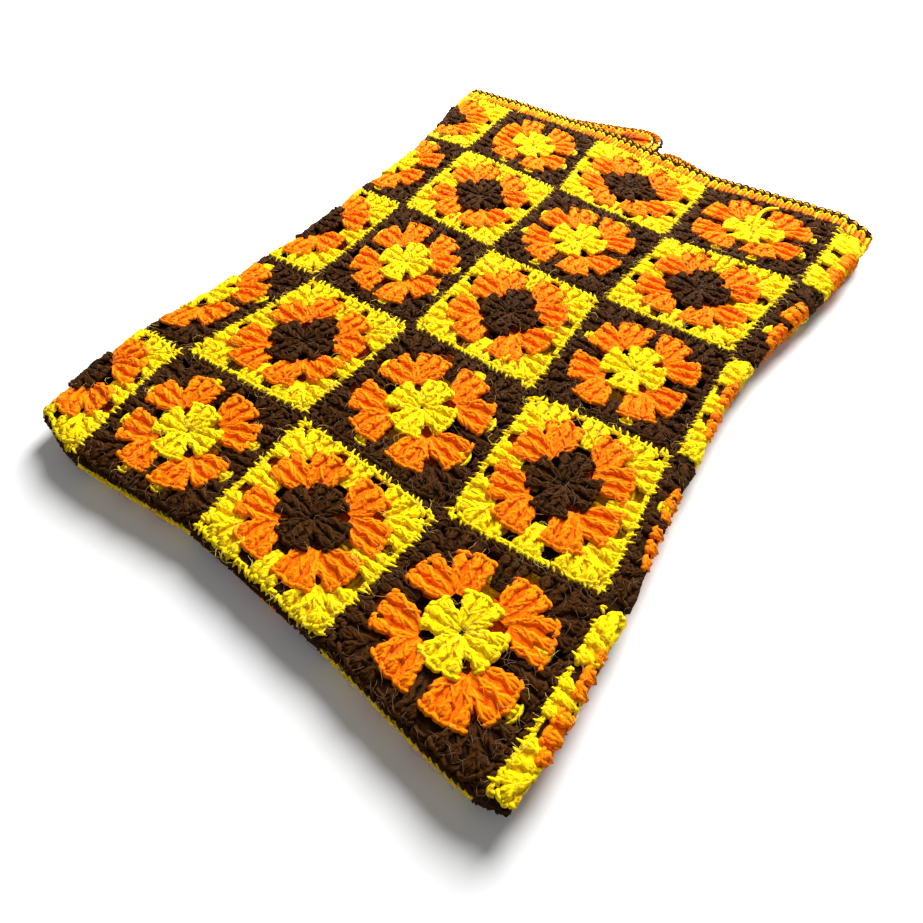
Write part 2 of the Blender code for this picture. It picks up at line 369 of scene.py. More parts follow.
def slew_flaps(x, y, side, under, half, back):
    """Swing the turned-under flaps: they were not laid in quite square."""
    ramp = np.clip((back - SLEW_START) / (0.5 * ROWS * SQUARE - SLEW_START), 0.0, 1.2)
    ramp = ramp * ramp * (3.0 - 2.0 * np.minimum(ramp, 1.0))
    reach = under**3 / (under**2 + SLEW_EASE**2)
    for flap in FLAPS:
        mine = ((side == flap["side"]) & (half * flap["half"] > 0.0)).astype(float)
        y = y + mine * flap["slew_along"] * ramp * reach
        x = x + mine * flap["slew_across"] * ramp * reach
    return x, y


def tuck_corners(x, y):
    """Draw the front corners in, as a soft fold does."""
    in_x = np.zeros_like(x)
    in_y = np.zeros_like(y)
    for corner in CORNER_TUCKS:
        distance = (x - corner["x"]) ** 2 + (y - corner["y"]) ** 2
        share = np.exp(-distance / corner["radius"] ** 2)
        in_x += corner["in_x"] * share
        in_y += corner["in_y"] * share
    return x + in_x, y + in_y


def swell(x, y):
    """Share by which the stack stands higher or lower than its nominal height."""
    total = np.zeros_like(x)
    for row in SWELLS:
        distance = (x - row["x"]) ** 2 + (y - row["y"]) ** 2
        total += row["rise"] * np.exp(-distance / row["radius"] ** 2)
    return total


def crease(x, y):
    """Rise in metres of the top layer along its creases."""
    total = np.zeros_like(x)
    for row in CREASES:
        start = np.array(row["from"])
        run = np.array(row["to"]) - start
        share = ((x - start[0]) * run[0] + (y - start[1]) * run[1]) / (run @ run)
        inside = np.clip(share, 0.0, 1.0)
        gap = (x - start[0] - inside * run[0]) ** 2 + (y - start[1] - inside * run[1]) ** 2
        total += MM * row["rise_mm"] * np.exp(-gap / row["width"] ** 2)
    return total


def fold(points):
    """Folded position of flat-cloth points, an array whose last axis is u, v, t."""
    u, v, t = points[..., 0], points[..., 1], points[..., 2]
    x, z, side, under = turn_sides_under(u, t)
    y, height, half, back = fold_in_half(v, z)
    topmost = np.clip(half, 0.0, 1.0) * np.clip(1.0 + 2.0 * z / SIDE_RADIUS, 0.0, 1.0)
    height = height * (1.0 + swell(x, y)) + crease(x, y) * topmost
    stray_x = drift(x, y, DRIFT_ACROSS_MM)
    stray_y = drift(x, y, DRIFT_ALONG_MM)
    x, y = slew_flaps(x, y, side, under, half, back)
    x, y = tuck_corners(x + stray_x, y + stray_y)
    return np.stack([x - OUTLINE_MIDDLE[0], y - OUTLINE_MIDDLE[1], height], axis=-1)


def layer_of(u, v):
    """Where in the stack a flat point ends up: top, bottom or inside."""
    if abs(u + SIDE_SHIFT) > SIDE_STRAIGHT + SIDE_ARC + RIM_SHOWS:
        return "inside"
    return "top" if v > FRONT_LEAD - 0.6 * FRONT_ARC else "bottom"


def detail_of(layer, v):
    """How finely a stitch is made: the flaps show only where they reach out at the hems."""
    if layer == "inside":
        return "medium" if v > FLAP_SHOWS_FROM else "plain"
    return {"top": "fine", "bottom": "medium"}[layer]


# ---------------- yarn
# Metres that a point is lifted to find which way the cloth faces
NORMAL_STEP = 0.0003
# How far into the cloth a point of the yarn counts, which sets how much painted shade it gets: at height 0,
# for each mm higher, and facing up
PAINTED_SHADE_SHARE = {"level": 0.34, "height": 0.20, "facing": 0.40}
# Metres by which the twist of one strand may be shifted against another's
STRAND_SHIFT = 0.05


def bezier_weights(count):
    """Weights of the four control points of a cubic at evenly spaced places."""
    f = np.linspace(0.0, 1.0, count)[:, None]
    return np.hstack([(1 - f) ** 3, 3 * f * (1 - f) ** 2, 3 * f**2 * (1 - f), f**3])


WEIGHTS = {count: bezier_weights(count) for count in (3, 4, 5)}


class Basket:
    """Strands of one colour in one part of the stack, built as one mesh at the end."""

    def __init__(self):
        self.groups = {}

    def strand(self, controls, radii, count, sides):
        """One strand in flat metres through a cubic's four controls; radii at its start, middle and end."""
        line = WEIGHTS[count] @ controls
        self.groups.setdefault((count, sides), []).append((line, radii))

    def path(self, line, radii, sides):
        """One strand in flat metres that follows every point of line."""
        self.groups.setdefault((len(line), sides), []).append((line, radii))

    def mesh_data(self):
        """Points, faces, and uv by face corner; depth, the share of painted shade, and tint by point."""
        points, faces, uv, depth, tint = [], [], [], [], []
        first = 0
        for (count, sides), strands in self.groups.items():
            lines = np.stack([line for line, _ in strands])
            radii = np.stack([radius for _, radius in strands])
            ring, along, painted_shade = tube_rings(lines, radii, count, sides)
            shade = random.random(len(strands))
            points.append(ring.reshape(-1, 3))
            depth.append(painted_shade.reshape(-1))
            tint.append(np.repeat(shade, count * sides))
            for corners in tube_faces(len(strands), count, sides):
                faces.extend((corners + first).tolist())
            uv.extend(tube_uv(along, shade, count, sides))
            first += len(strands) * count * sides
        return (np.concatenate(points), faces, *(np.concatenate(part) for part in (uv, depth, tint)))


def tube_rings(lines, radii, count, sides):
    """Rings of points around folded strands, with the length along each strand and its depth: the share of
    painted shade, more low in the cloth and on the strands' undersides.
    """
    centre = fold(lines)
    lifted = lines.copy()
    lifted[..., 2] += NORMAL_STEP
    normal = fold(lifted) - centre
    normal /= np.linalg.norm(normal, axis=-1, keepdims=True)
    tangent = np.gradient(centre, axis=1)
    tangent /= np.linalg.norm(tangent, axis=-1, keepdims=True) + 1e-12
    side = np.cross(tangent, normal)
    side /= np.linalg.norm(side, axis=-1, keepdims=True) + 1e-12
    normal = np.cross(side, tangent)
    place = np.linspace(0.0, 1.0, count)
    size = np.stack([np.interp(place, (0.0, 0.5, 1.0), radius) for radius in radii])
    angle = 2.0 * math.pi * np.arange(sides) / sides
    ring = (
        centre[:, :, None, :]
        + size[:, :, None, None] * np.cos(angle)[None, None, :, None] * side[:, :, None, :]
        + size[:, :, None, None] * np.sin(angle)[None, None, :, None] * normal[:, :, None, :]
    )
    step = np.linalg.norm(np.diff(centre, axis=1), axis=-1)
    along = np.concatenate([np.zeros((len(lines), 1)), np.cumsum(step, axis=1)], axis=1)
    # Painted shade: points low in the cloth and on the undersides of the strands get more of it
    height = lines[..., 2][:, :, None] / MM
    facing = np.sin(angle)[None, None, :]
    painted_shade = np.clip(PAINTED_SHADE_SHARE["level"] - PAINTED_SHADE_SHARE["height"] * height - PAINTED_SHADE_SHARE["facing"] * facing, 0.0, 1.0)
    return ring, along, painted_shade


def tube_faces(strand_count, count, sides):
    """Quads and end caps of many tubes of the same make."""
    first = (np.arange(strand_count) * count * sides)[:, None, None]
    ring = (np.arange(count - 1) * sides)[None, :, None]
    around = np.arange(sides)[None, None, :]
    after = (around + 1) % sides
    a = first + ring + around
    b = first + ring + after
    quad = np.stack([a, b, b + sides, a + sides], axis=-1).reshape(-1, 4)
    start = (first[:, 0] + np.arange(sides)[::-1][None, :]).reshape(-1, sides)
    end = (first[:, 0] + (count - 1) * sides + np.arange(sides)[None, :]).reshape(-1, sides)
    return quad, start, end


def tube_uv(along, shade, count, sides):
    """Lengthwise and around coordinates at each face corner, for the twist of the yarn."""
    shifted = along + shade[:, None] * STRAND_SHIFT
    zero = np.zeros((len(along), count - 1, sides))
    start = shifted[:, :-1, None] + zero
    end = shifted[:, 1:, None] + zero
    around = np.arange(sides) / sides + zero
    after = (np.arange(sides) + 1) / sides + zero
    u = np.stack([start, start, end, end], axis=-1)
    v = np.stack([around, after, after, around], axis=-1)
    quads = np.stack([u, v], axis=-1).reshape(-1, 2)
    caps = np.zeros((2 * len(along) * sides, 2))
    return [quads, caps]


def add_object(name, data):
    """A new object in the scene."""
    added = bpy.data.objects.new(name, data)
    bpy.context.scene.collection.objects.link(added)
    return added


def add_piece(name, mesh, uv, depth, tint):
    """Give a mesh what the yarn's material reads, and put it in the scene."""
    layer = mesh.uv_layers.new(name="yarn")
    layer.data.foreach_set("uv", uv.ravel())
    # depth is the share of painted shade at each point; tint its own brightness
    for label, values in (("depth", depth), ("tint", tint)):
        attribute = mesh.attributes.new(label, "FLOAT", "POINT")
        attribute.data.foreach_set("value", values.astype(np.float32))
    mesh.shade_smooth()
    return add_object(name, mesh)


def build_yarn(name, basket, material):
    """Join a basket's strands into one mesh object."""
    vertices, faces, uv, depth, tint = basket.mesh_data()
    # yarn that would reach the floor is pressed flat on it
    vertices[:, 2] = np.maximum(vertices[:, 2], LOWEST)
    mesh = bpy.data.meshes.new(name)
    mesh.from_pydata(vertices.tolist(), [], faces)
    mesh.materials.append(material)
    return add_piece(name, mesh, uv, depth, tint)


# ---------------- materials
def new_material(name, roughness):
    """A material of that roughness, and its shader."""
    material = bpy.data.materials.new(name)
    material.use_nodes = True
    shader = material.node_tree.nodes["Principled BSDF"]
    shader.inputs["Roughness"].default_value = roughness
    return material, shader


def add_node(tree, kind, **settings):
    """A new node; its settings are values of its inputs or properties of its own."""
    node = tree.nodes.new(kind)
    for key, value in settings.items():
        if key in node.inputs:
            node.inputs[key].default_value = value
        else:
            setattr(node, key, value)
    return node


def math_node(tree, operation, *inputs, **settings):
    """Output of a math node; its inputs are numbers or other nodes' outputs."""
    node = add_node(tree, "ShaderNodeMath", operation=operation, **settings)
    for socket, value in zip(node.inputs, inputs):
        if isinstance(value, bpy.types.NodeSocket):
            tree.links.new(value, socket)
        else:
            socket.default_value = value
    return node.outputs[0]


def painted_hollow_shade(tree, noise, hollow):
    """Painted shade in the low places of a noise: how dark they get."""
    node = add_node(tree, "ShaderNodeMapRange")
    node.inputs["From Min"].default_value = hollow["from"]
    node.inputs["From Max"].default_value = hollow["deepest"]
    node.inputs["To Max"].default_value = hollow["dark"]
    tree.links.new(noise, node.inputs["Value"])
    return node.outputs["Result"]


def yarn_noises(tree):
    """The ply's wave, the drawn-out fibres, the fuzz and the lumps of the yarn."""
    link = tree.links.new
    uv = add_node(tree, "ShaderNodeUVMap", uv_map="yarn")
    split = add_node(tree, "ShaderNodeSeparateXYZ")
    link(uv.outputs["UV"], split.inputs["Vector"])
    # the ply: two strands, so two waves a turn
    turns = math_node(tree, "MULTIPLY", split.outputs["X"], 1.0 / PLY_LENGTH)
    phase = math_node(tree, "ADD", turns, split.outputs["Y"])
    angle = math_node(tree, "MULTIPLY", phase, 4.0 * math.pi)
    ply = math_node(tree, "SINE", angle)
    # fibres: fine noise drawn out along the twist
    stretched = add_node(tree, "ShaderNodeCombineXYZ")
    link(math_node(tree, "MULTIPLY", split.outputs["X"], FIBRES_ALONG), stretched.inputs["X"])
    link(math_node(tree, "MULTIPLY", phase, FIBRES_AROUND), stretched.inputs["Y"])
    fibres = add_node(tree, "ShaderNodeTexNoise", Scale=1.0, Detail=3.0, Roughness=0.65)
    link(stretched.outputs["Vector"], fibres.inputs["Vector"])
    place = add_node(tree, "ShaderNodeTexCoord")
    fuzz = add_node(tree, "ShaderNodeTexNoise", Scale=FUZZ_SCALE, Detail=2.0, Roughness=0.6)
    link(place.outputs["Object"], fuzz.inputs["Vector"])
    lumps = add_node(tree, "ShaderNodeTexNoise", Scale=LUMP_SCALE, Detail=2.0, Roughness=0.55)
    link(place.outputs["Object"], lumps.inputs["Vector"])
    return ply, fibres.outputs["Fac"], fuzz.outputs["Fac"], lumps.outputs["Fac"]


def yarn_material(name, colours):
    """Soft plied yarn: its twist and fibres as bump, and painted shade, darker and warmer, between the
    strands and in its pits and grooves.
    """
    material, shader = new_material(name, YARN_ROUGHNESS)
    tree = material.node_tree
    link = tree.links.new
    shader.inputs["Specular IOR Level"].default_value = YARN_SPECULAR
    shader.inputs["Sheen Weight"].default_value = colours["sheen"]
    shader.inputs["Sheen Roughness"].default_value = SHEEN_ROUGHNESS
    shader.inputs["Sheen Tint"].default_value = (*colours["fibre"], 1.0)
    ply, fibres, fuzz, lumps = yarn_noises(tree)

    relief = math_node(tree, "MULTIPLY_ADD", ply, PLY_RELIEF, fibres)
    relief = math_node(tree, "MULTIPLY_ADD", fuzz, FUZZ_RELIEF, relief)
    relief = math_node(tree, "MULTIPLY_ADD", lumps, LUMP_RELIEF, relief)
    bump = add_node(tree, "ShaderNodeBump", Strength=BUMP_STRENGTH, Distance=BUMP_DISTANCE)
    link(relief, bump.inputs["Height"])
    link(bump.outputs["Normal"], shader.inputs["Normal"])

    # Painted shade: depth and the pits and grooves of the noises mix the body colour towards the darker,
    # warmer painted shade colour
    depth = add_node(tree, "ShaderNodeAttribute", attribute_name="depth")
    tint = add_node(tree, "ShaderNodeAttribute", attribute_name="tint")
    hollow_shade = math_node(tree, "ADD", painted_hollow_shade(tree, fibres, GROOVES), painted_hollow_shade(tree, lumps, PITS))
    shade = math_node(tree, "MULTIPLY_ADD", depth.outputs["Fac"], DEPTH_PAINTED_SHADE, hollow_shade, use_clamp=True)
    body = add_node(tree, "ShaderNodeMix", data_type="RGBA")
    body.inputs["A"].default_value = (*colours["body"], 1.0)
    body.inputs["B"].default_value = (*colours["painted_shade"], 1.0)
    link(shade, body.inputs["Factor"])
    value = add_node(tree, "ShaderNodeMapRange")
    value.inputs["To Min"].default_value = STRAND_BRIGHTNESS[0]
    value.inputs["To Max"].default_value = STRAND_BRIGHTNESS[1]
    link(tint.outputs["Fac"], value.inputs["Value"])
    varied = add_node(tree, "ShaderNodeHueSaturation")
    link(body.outputs["Result"], varied.inputs["Color"])
    link(value.outputs["Result"], varied.inputs["Value"])
    link(varied.outputs["Color"], shader.inputs["Base Color"])
    return material


def fibre_material(name, colour):
    """A single loose fibre."""
    material, shader = new_material(name, FIBRE_ROUGHNESS)
    shader.inputs["Base Color"].default_value = (*colour, 1.0)
    shader.inputs["Specular IOR Level"].default_value = FIBRE_SPECULAR
    return material


FIBRE_MATERIALS = {
    name: fibre_material(f"fibre_{name}", YARN_COLOURS[name]["fibre"])
    for name in FIBRES
}
MATERIALS = {name: yarn_material(f"yarn_{name}", colours) for name, colours in YARN_COLOURS.items()}


# ---------------- stitches
class Side:
    """One side of one square: turns millimetres on that side into flat metres."""

    def __init__(self, middle_u, middle_v, quarter, jitter=(0.0, 0.0, 0.0), layer="top"):
        self.middle = np.array([middle_u, middle_v])
        turn = 0.5 * math.pi * quarter
        self.turn = np.array([[math.cos(turn), -math.sin(turn)], [math.sin(turn), math.cos(turn)]])
        self.shift = np.array(jitter[:2])
        self.lean = jitter[2]
        self.layer = layer

    def place(self, rows):
        """Rows of x, y, height in millimetres as rows of u, v, t in metres."""
        rows = np.asarray(rows, dtype=float)
        flat = rows[:, :2] + self.shift
        flat[:, 1] += self.lean * (flat[:, 0] - LEAN_FROM)
        flat = flat @ self.turn.T * MM + self.middle
        beyond = (np.abs(flat[:, 0] + SIDE_SHIFT) - SIDE_STRAIGHT) / RIM_PRESS
        height = rows[:, 2] * (1.0 - RIM_SQUASH * np.clip(1.0 + beyond, 0.0, 1.0))
        if self.layer == "bottom":
            height = np.minimum(height * BOTTOM_SQUASH, BOTTOM_LIMIT)
        elif self.layer == "inside":
            height = -height
        return np.column_stack([flat, height * MM])


def radii(start, middle, end):
    """Radii in metres from shares of the yarn's own."""
    return np.array([start, middle, end]) * YARN_RADIUS * MM


def stitch_places(foot, head, bulge):
    """Gives at(along, over, height, out): a place in the stitch's own frame, as x, y and height."""
    axis = head - foot
    length = np.linalg.norm(axis)
    axis = axis / length
    cross = np.array([-axis[1], axis[0]])

    def at(along, over, height, out=0.0):
        bow = bulge * math.sin(math.pi * min(max(along, 0.0), 1.0))
        return (*(foot + axis * (along * length + out) + cross * (over + bow)), height)

    return at


def plain_stitch(basket, side, at, heights):
    """One thick strand, for the layers inside."""
    low, knee, high, top = heights
    line = [at(0.0, 0.0, low), at(0.4, 0.0, knee), at(0.75, 0.0, high), at(1.02, 0.0, top)]
    basket.strand(side.place(line), radii(1.0, 1.7, 2.0), 4, 4)


def medium_stitch(basket, side, at, heights, width):
    """Two legs and a ridge over their heads."""
    low, knee, high, top = heights
    half = LEG_SPREAD * width
    for hand in (-1.0, 1.0):
        line = [
            at(0.0, hand * 0.5, low),
            at(0.35, -hand * half, knee),
            at(0.70, hand * 1.3 * half, high),
            at(0.98, hand * half, top),
        ]
        basket.strand(side.place(line), radii(0.9, 1.3, 1.3), 4, 4)
    ridge = [
        at(1.0, -0.58 * width, top),
        at(1.0, -0.2 * width, top, 2.4),
        at(1.0, 0.2 * width, top, 2.4),
        at(1.0, 0.56 * width, top),
    ]
    basket.strand(side.place(ridge), radii(0.9, 1.1, 0.9), 4, 4)


def twisted_legs(basket, side, at, heights, half):
    """Two legs twisted round each other, and the yarn that fills the middle between them."""
    low, knee, high, top = heights
    stages = np.linspace(0.0, 1.0, LEG_POINTS)
    start = random.normal(0.0, LEG_TWIST_STRAY)
    profile = np.interp(stages, (0.0, 0.35, 0.7, 1.0), (low, knee, high, top - 0.3))
    for hand in (0.0, math.pi):
        line = []
        for stage, level in zip(stages, profile):
            turn = math.pi * LEG_TURNS * stage + hand + start
            reach = 0.6 + (1.05 * half - 0.6) * stage
            rise = 0.6 * math.sin(turn) * stage**0.5
            line.append(at(0.99 * stage, reach * math.cos(turn), level + rise))
        basket.path(side.place(line), radii(0.95, 1.3, 1.55), 4)
    middle = [
        at(0.08, 0.0, low - 0.2),
        at(0.4, 0.1, knee - 0.3),
        at(0.7, 0.2, high - 0.7),
        at(0.98, 0.0, top - 0.7),
    ]
    basket.strand(side.place(middle), radii(0.9, 1.7, 2.3), 4, 4)


def yarn_over(basket, side, at, heights, half):
    """The strand that slants across the legs, higher or lower and this way or that."""
    _, knee, high, _ = heights
    lean = random.uniform(0.80, 1.12)
    reach = random.uniform(0.9, 1.2)
    slant = random.choice((-1.0, 1.0, 1.0))
    wrap = [
        at(0.34 * lean, -slant * (half + 0.4), knee - 0.6),
        at(0.42 * lean, -slant * 0.4 * half, knee + 1.7),
        at(0.58 * lean, slant * 0.4 * half, high + 1.1),
        at(0.72 * lean, slant * (reach * half + 0.5), high - 0.8),
    ]
    basket.strand(side.place(wrap), radii(0.8, 0.95, 0.85), 5, 4)


def stitch_head(basket, side, at, top, width, corner):
    """The V of the head as two strands; a fan's outer stitches reach out at their corner."""
    tip = random.uniform(0.2, 1.9)
    lopsided = random.normal(0.0, 0.12) * width
    left = CORNER_POINT if corner < 0 else 0.0
    right = CORNER_POINT if corner > 0 else 0.0
    outer = [
        at(0.94, -0.52 * width, top - 0.7, left),
        at(0.98, -0.38 * width, top + 0.5, 0.8 * left),
        at(1.0, -0.16 * width + lopsided, top + 1.0, tip),
        at(0.96, 0.08 * width + lopsided, top + 0.5, 0.2 * tip),
    ]
    basket.strand(side.place(outer), radii(1.05, 1.45, 1.25), 5, 4)
    inner = [
        at(0.97, -0.06 * width + lopsided, top + 0.4, -0.4),
        at(1.0, 0.20 * width + lopsided, top + 0.9, tip),
        at(0.98, 0.38 * width, top + 0.4, 0.8 * right),
        at(0.94, 0.52 * width, top - 0.7, right),
    ]
    basket.strand(side.place(inner), radii(1.25, 1.45, 1.05), 5, 4)


def double_crochet(basket, side, at, heights, width, corner, detail):
    """One double crochet from its foot to its head, as finely as detail says."""
    if detail == "plain":
        plain_stitch(basket, side, at, heights)
    elif detail == "medium":
        medium_stitch(basket, side, at, heights, width)
    else:
        half = LEG_SPREAD * width
        twisted_legs(basket, side, at, heights, half)
        yarn_over(basket, side, at, heights, half)
        stitch_head(basket, side, at, heights[3], width, corner)


def fan_edge(fan):
    """The bowed edge of a fan as edge(share), with the straight line's direction and length."""
    start = np.array(fan["from"])
    run = np.array(fan["to"]) - start
    length = np.linalg.norm(run)
    outward = np.array([run[1], -run[0]]) / length

    def edge(share):
        return start + run * share + outward * fan["bow"] * math.sin(math.pi * share)

    return edge, run / length, length


def crochet_fan(basket, side, fan, detail):
    """Three double crochets that share a foot."""
    edge, direction, length = fan_edge(fan)
    for number in range(STITCHES_PER_FAN):
        spread = number - 0.5 * (STITCHES_PER_FAN - 1)
        foot = np.array(fan["base"]) + direction * FOOT_SPACING[fan["round"]] * spread
        head = edge((number + 0.5) / STITCHES_PER_FAN) + random.normal(0.0, HEAD_STRAY, 2)
        puff = random.uniform(*STITCH_PUFF)
        heights = [height + puff for height in ROUND_HEIGHTS[fan["round"]]]
        at = stitch_places(foot, head, FAN_BULGE[fan["round"]] * spread)
        double_crochet(basket, side, at, heights, length / STITCHES_PER_FAN, spread, detail)


class Plates:
    """The cloth's own thin surface, under the yarn."""

    def __init__(self):
        self.points = []
        self.faces = []
        self.colours = []

    def grid(self, rows, colour):
        """rows is an array of rows of points u, v, t in metres."""
        count_v, count_u = rows.shape[:2]
        first = len(self.points)
        self.points.extend(rows.reshape(-1, 3).tolist())
        for j in range(count_v - 1):
            for i in range(count_u - 1):
                a = first + j * count_u + i
                self.faces.append((a, a + 1, a + 1 + count_u, a + count_u))
                self.colours.append(colour)


def fan_plate(plates, side, fan, colour):
    """The body of a fan, from its foot to its heads."""
    edge, direction, _ = fan_edge(fan)
    puff = PLATE_RISE * PLATE_PUFF[fan["round"]]
    rows = []
    for along in np.linspace(0.0, 1.0, PLATE_STEPS):
        row = []
        for over in np.linspace(0.0, 1.0, PLATE_STEPS):
            near = np.array(fan["base"]) + direction * PLATE_FOOT * (over - 0.5)
            spot = near + (edge(over) - near) * along
            rise = puff * math.sin(math.pi * over) * along
            row.append((*spot, PLATE_HEIGHT[fan["round"]] + rise))
        rows.append(side.place(row))
    plates.grid(np.stack(rows), colour)


def edge_chain(basket, side, detail):
    """The chain that joins the last round's fans along the outer edge, and round the corner."""
    count = 5 if detail == "fine" else 4
    for low, high in EDGE_GAPS:
        for offset in (-0.7, 0.8):
            line = [
                (EDGE + offset, low, 0.2),
                (EDGE + 0.8 + offset, low + 2.0, 0.8),
                (EDGE + 0.6 + offset, high - 2.0, 0.8),
                (EDGE + offset, high, 0.2),
            ]
            basket.strand(side.place(line), radii(0.85, 0.95, 0.85), count, 4)
    for offset in (-0.8, 0.8):
        reach = EDGE + offset
        line = [
            (reach, CORNER_CHAIN_START, 0.3),
            (reach + 0.8, EDGE, 0.8),
            (EDGE, reach + 0.8, 0.8),
            (CORNER_CHAIN_START, reach, 0.3),
        ]
        basket.strand(side.place(line), radii(0.85, 1.0, 0.85), count, 4)


def edge_ticks(basket, side, detail):
    """Slanted loops of the outer round where it was caught into the join."""
    spot = -TICK_RANGE
    while spot < TICK_RANGE:
        reach = random.uniform(2.4, 5.6)
        slant = random.uniform(-1.5, 4.0)
        line = [
            (EDGE - 1.0, spot, 0.4),
            (EDGE + 0.4, spot + 0.3 * slant, 1.7),
            (EDGE + 0.6 * reach, spot + 0.7 * slant, 2.0),
            (EDGE + reach, spot + slant, 1.0),
        ]
        if detail == "fine":
            basket.strand(side.place(line), radii(0.8, 0.85, 0.35), 5, 4)
        else:
            basket.strand(side.place(line), radii(0.8, 0.9, 0.6), 4, 3)
        spot += TICK_SPACING[detail] * random.uniform(*TICK_STRAY)


def seam(basket, side, detail):
    """Half of the join along this side: brown slip stitches over the edge."""
    spot = -SEAM_RANGE
    while spot < SEAM_RANGE:
        wide = random.uniform(1.6, 2.2)
        line = [
            (EDGE + 1.0, spot - 0.8, -0.6),
            (EDGE + 2.0, spot, 0.9),
            (EDGE + 2.8, spot + 1.4, 1.1),
            (EDGE + 3.6 + 0.1 * wide, spot + 3.6, 0.5),
        ]
        if detail == "fine":
            basket.strand(side.place(line), radii(0.9, 1.1, 0.9), 4, 4)
        else:
            basket.strand(side.place(line), radii(1.1, 1.4, 1.1), 3, 4)
        spot += SEAM_SPACING[detail]


def show_through(basket, side):
    """Yellow loops in some holes of a brown outer round, as if the layer below showed there."""
    for loop in SHOWN_LOOPS:
        if random.random() < loop["share"]:
            foot = (loop["foot"], loop["over"]) + random.normal(0.0, SHOWN_STRAY, 2)
            head = (loop["head"], loop["over"]) + random.normal(0.0, SHOWN_STRAY, 2)
            at = stitch_places(foot, head, 0.0)
            plain_stitch(basket, side, at, SHOWN_HEIGHTS)
            medium_stitch(basket, side, at, SHOWN_HEIGHTS, loop["width"])


def side_fans(baskets, plates, middle, quarter, colours):
    """The fans on one side of a square, each a little out of its place, with their plates."""
    for fan in FANS:
        colour = colours[fan["round"] - 1]
        head = 0.5 * (np.array(fan["from"]) + np.array(fan["to"]))
        spot = Side(*middle, quarter).place([(*(0.5 * (head + np.array(fan["base"]))), 0.0)])[0]
        layer = layer_of(spot[0], spot[1])
        stray = random.normal(0.0, FAN_STRAY[fan["round"]], 2)
        jitter = (*stray, random.normal(0.0, FAN_LEAN[fan["round"]]))
        if fan["round"] == 3:
            jitter = (0.0, *jitter[1:])
        side = Side(*middle, quarter, jitter, layer)
        crochet_fan(baskets[layer][colour], side, fan, detail_of(layer, spot[1]))
        fan_plate(plates, side, fan, colour)


def dark_backing(plates, middle, quarter, half_way):
    """A brown wedge behind one side of a square, except on the top away from the rims."""
    across = abs(half_way[0] + SIDE_SHIFT) - SIDE_STRAIGHT
    if across <= -RIM_BACKING and half_way[1] >= FRONT_LEAD + RIM_BACKING:
        return
    near_fold = abs(across) < 0.5 * SQUARE or abs(half_way[1]) < 0.5 * SQUARE
    steps, spread = BACKING_STEPS["near" if near_fold else "far"]
    depth = BACKING_DEPTH if layer_of(*half_way) == "inside" else -BACKING_DEPTH
    side = Side(*middle, quarter)
    wedge = [
        side.place([(x, x * y, depth) for y in np.linspace(-1.0, 1.0, spread)])
        for x in np.linspace(*BACKING_REACH, steps)
    ]
    plates.grid(np.stack(wedge), "brown")


def granny_square(baskets, plates, column, row):
    """One three-round square with the joins on its sides."""
    middle = np.array([column - 0.5 * (COLUMNS - 1), row - 0.5 * (ROWS - 1)]) * SQUARE
    kind = "sunny" if (column + row) % 2 == 0 else "dark"
    colours = SQUARE_COLOURS[kind]
    for quarter in range(4):
        turn = 0.5 * math.pi * quarter
        outward = np.array([math.cos(turn), math.sin(turn)])
        edge = middle + outward * 0.5 * SQUARE
        layer = layer_of(*edge)
        detail = detail_of(layer, edge[1])
        side_fans(baskets, plates, middle, quarter, colours)
        if kind == "dark" and layer == "top":
            show_through(baskets["top"]["yellow"], Side(*middle, quarter))
        dark_backing(plates, middle, quarter, middle + outward * 0.25 * SQUARE)
        side = Side(*middle, quarter, layer=layer)
        if detail != "plain":
            edge_chain(baskets[layer][colours[2]], side, detail)
            seam(baskets[layer]["brown"], side, detail)
            on_front_rim = row == ROWS // 2 - 1 and quarter == 1
            if kind == "sunny" and not on_front_rim:
                edge_ticks(baskets[layer]["yellow"], side, detail)
        strip = [
            side.place([(x, y, SEAM_PLATE["height"]) for x in (SEAM_PLATE["from"], SEAM_PLATE["to"])])
            for y in np.linspace(-SEAM_RANGE, SEAM_RANGE, SEAM_PLATE["steps"])
        ]
        plates.grid(np.stack(strip), "brown")


def border_stitch(baskets, at, fine):
    """One stitch of each round of the border; at(along, out, height) gives flat metres."""
    count = 5 if fine else 3
    yarn = baskets["border"]

    def lay(colour, rows, shares, face=1.0):
        line = np.array([at(along, out, height * face) for along, out, height in rows])
        yarn[colour].strand(line, radii(*shares), count, 4)

    for face in (1.0, -1.0) if fine else (1.0,):
        for start in (-1.5, 1.5):
            tooth = random.uniform(-5.6, -0.6)
            sway = random.normal(0.0, 0.7)
            colour = "gold" if random.random() < BORDER_GOLD_SHARE else "orange"
            foot = (start + sway, tooth, 0.3)
            leg = [foot, (start, 0.5, 1.5), (0.9 * start, 4.0, 1.5), (0.8 * start, 8.0, 0.6)]
            lay(colour, leg, (0.8, 1.3, 1.25), face)
        sway = random.normal(0.0, 0.7)
        loop = [(-2.5, 5.6, 0.3), (-1.9 + sway, 10.6, 1.9), (1.3 + sway, 11.2, 1.9), (1.9, 7.0, 0.6)]
        lay("yellow", loop, (0.8, 1.15, 0.8), face)
        loop = [(-1.6, 12.2, 0.4), (-1.5, 15.6 + sway, 1.8), (0.9, 16.0 + sway, 1.8), (1.3, 12.8, 0.6)]
        lay("gold", loop, (0.85, 1.15, 0.85), face)
    lay("brown", [(-3.0, 11.4, 0.6), (-1.0, 12.5, 1.0), (1.0, 11.5, 1.0), (3.0, 12.4, 0.6)], (1.2, 1.4, 1.2))
    sway = random.normal(0.0, 0.4)
    edge = [(-3.0, 15.9, 0.2), (-1.2, 17.9 + sway, 0.8), (1.0, 17.9 + sway, 0.8), (3.0, 16.0, 0.2)]
    lay("brown", edge, (1.0, 1.3, 1.0))


